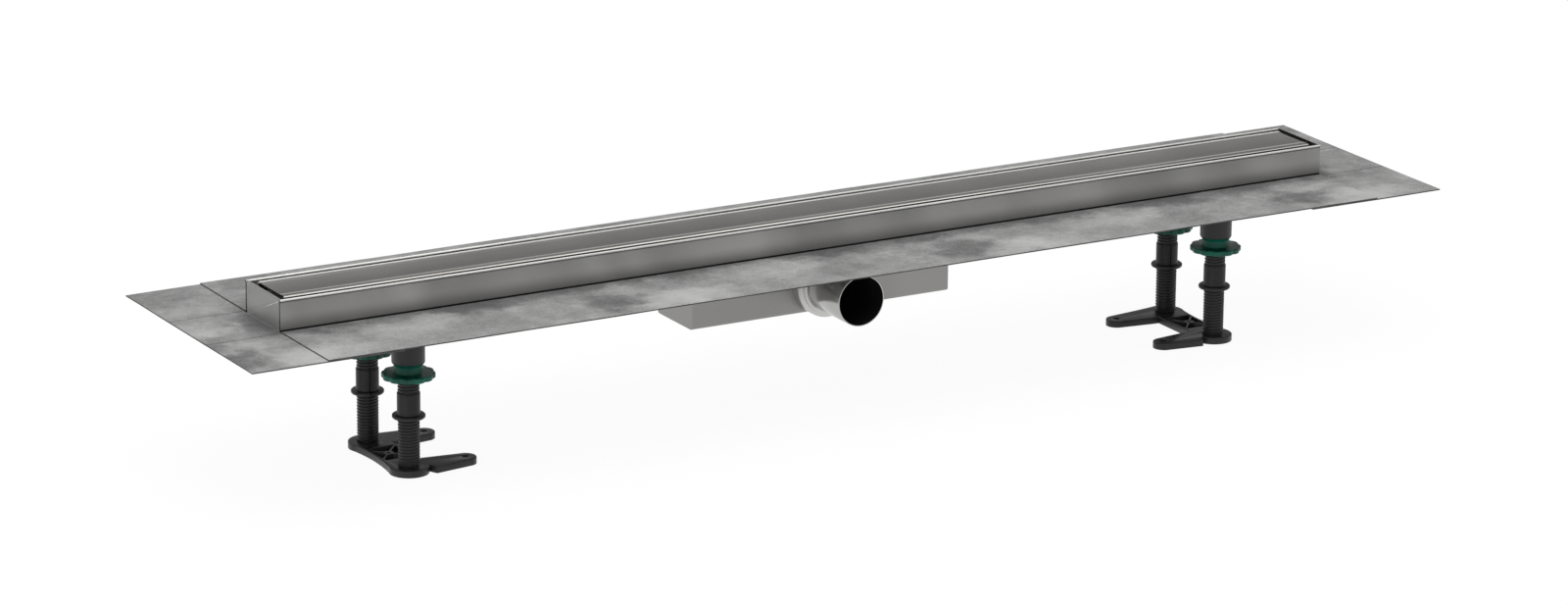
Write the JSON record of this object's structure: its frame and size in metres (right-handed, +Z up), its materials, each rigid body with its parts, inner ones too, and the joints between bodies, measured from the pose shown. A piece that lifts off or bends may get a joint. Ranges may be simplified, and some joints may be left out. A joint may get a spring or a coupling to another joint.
{
  "type": "linear shower drain",
  "caption": "Long stainless floor channel with a solid cover, a trap box with a side outlet, bonded sealing sheets and screw-adjusted legs on forked foot plates.",
  "frame": {"origin": "middle of the footprint, on the floor under the foot plates", "axes": "+X along the channel to its right end, +Y to the rear, away from the outlet, +Z up; the outlet points to -Y"},
  "size_m": [1.302, 0.2768, 0.1835],
  "materials": {
    "steel": "satin, milled",
    "cover_steel": "brushed lengthways, satin",
    "membrane": "mottled grey fleece on a plastic core",
    "joint_rubber": "soft black",
    "trap_plastic": "moulded, dark grey",
    "sieve_steel": "punched, bright",
    "socket_plastic": "moulded, black",
    "leg_plastic": "moulded, black",
    "foot_plastic": "moulded, black",
    "nut_plastic": "moulded, dark green",
    "zinc": "zinc plated"
  },
  "bodies": {
    "channel": {"base_plate": "steel", "front_rail": "steel", "rear_rail": "steel", "left_end_plate": "steel", "right_end_plate": "steel", "trap_box": "steel", "outlet_collar": "steel", "outlet_pipe": "steel", "cover_plate": "cover_steel", "cover_bracket_1": "cover_steel", "cover_bracket_2": "cover_steel", "cover_bracket_3": "cover_steel", "cover_bracket_4": "cover_steel", "front_sealing_strip": "membrane", "rear_sealing_strip": "membrane", "left_end_sheet": "membrane", "right_end_sheet": "membrane", "left_front_corner_sheet": "membrane", "left_rear_corner_sheet": "membrane", "right_front_corner_sheet": "membrane", "right_rear_corner_sheet": "membrane", "front_joint_seal": "joint_rubber", "rear_joint_seal": "joint_rubber", "trap_seal": "joint_rubber", "outlet_seal": "joint_rubber", "trap_insert": "trap_plastic", "trap_cup": "trap_plastic", "hair_sieve": "sieve_steel", "left_front_leg_socket": "socket_plastic", "left_rear_leg_socket": "socket_plastic", "right_front_leg_socket": "socket_plastic", "right_rear_leg_socket": "socket_plastic", "weld_studs": "zinc", "stud_nuts": "zinc"},
    "left_feet": {"left_foot_plate": "foot_plastic", "left_front_spindle": "leg_plastic", "left_front_stop_sleeve": "leg_plastic", "left_rear_spindle": "leg_plastic", "left_rear_stop_sleeve": "leg_plastic"},
    "left_front_nut": {"left_front_adjusting_nut": "nut_plastic"},
    "left_rear_nut": {"left_rear_adjusting_nut": "nut_plastic"},
    "right_feet": {"right_foot_plate": "foot_plastic", "right_front_spindle": "leg_plastic", "right_front_stop_sleeve": "leg_plastic", "right_rear_spindle": "leg_plastic", "right_rear_stop_sleeve": "leg_plastic"},
    "right_front_nut": {"right_front_adjusting_nut": "nut_plastic"},
    "right_rear_nut": {"right_rear_adjusting_nut": "nut_plastic"}
  },
  "joints": [
    {"name": "left_front_nut_turn", "type": "hinge", "parent": "channel", "child": "left_front_nut", "pos_m": [-0.448, -0.0433, 0.1], "axis": [0, 0, 1], "range_deg": [-1700, 2420]},
    {"name": "left_rear_nut_turn", "type": "hinge", "parent": "channel", "child": "left_rear_nut", "pos_m": [-0.448, 0.0433, 0.1], "axis": [0, 0, 1], "range_deg": [-1700, 2420]},
    {"name": "left_height", "type": "slide", "parent": "channel", "child": "left_feet", "axis": [0, 0, 1], "range_m": [-0.02, 0.014]},
    {"name": "right_front_nut_turn", "type": "hinge", "parent": "channel", "child": "right_front_nut", "pos_m": [0.448, -0.0433, 0.1], "axis": [0, 0, 1], "range_deg": [-1700, 2420]},
    {"name": "right_rear_nut_turn", "type": "hinge", "parent": "channel", "child": "right_rear_nut", "pos_m": [0.448, 0.0433, 0.1], "axis": [0, 0, 1], "range_deg": [-1700, 2420]},
    {"name": "right_height", "type": "slide", "parent": "channel", "child": "right_feet", "axis": [0, 0, 1], "range_m": [-0.02, 0.014]}
  ],
  "couplings": [
    {"joint": "left_front_nut_turn", "follows": "left_height", "rad_per_m": -2094.4},
    {"joint": "left_rear_nut_turn", "follows": "left_height", "rad_per_m": -2094.4},
    {"joint": "right_front_nut_turn", "follows": "right_height", "rad_per_m": -2094.4},
    {"joint": "right_rear_nut_turn", "follows": "right_height", "rad_per_m": -2094.4}
  ]
}
